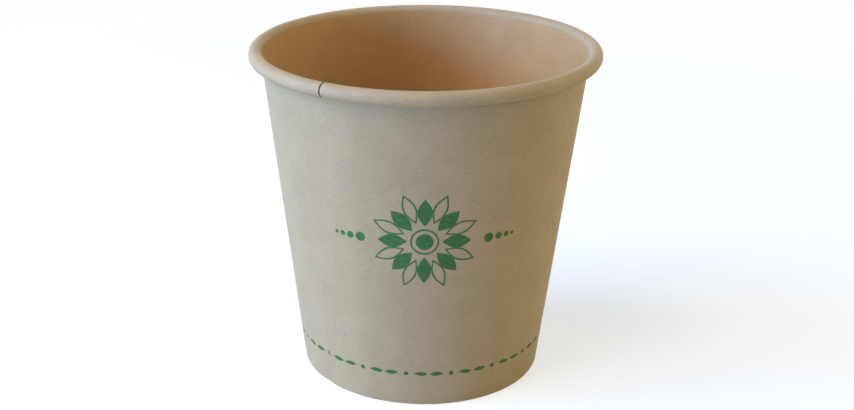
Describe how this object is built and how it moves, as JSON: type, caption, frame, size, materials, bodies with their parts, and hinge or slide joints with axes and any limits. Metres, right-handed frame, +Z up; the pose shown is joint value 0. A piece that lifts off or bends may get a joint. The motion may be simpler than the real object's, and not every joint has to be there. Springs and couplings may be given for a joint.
{
  "type": "bamboo board cup",
  "caption": "Small round disposable drinking cup of bamboo-fibre board: tapered wall with a lapped side seam, rolled brim, recessed base held in a foot crimp, and a barrier film inside.",
  "frame": {"origin": "centre of the circle that the cup stands on", "axes": "+Z up along the cup's axis, -Y towards the viewer of the picture, +X to the right"},
  "size_m": [0.062, 0.062, 0.06],
  "materials": {
    "wall_board": "matte",
    "wall_film": "satin",
    "base_board": "matte",
    "base_film": "satin"
  },
  "bodies": {
    "root": {"sidewall": "wall_board", "sidewall_lining": "wall_film", "base": "base_board", "base_lining": "base_film"}
  },
  "joints": []
}
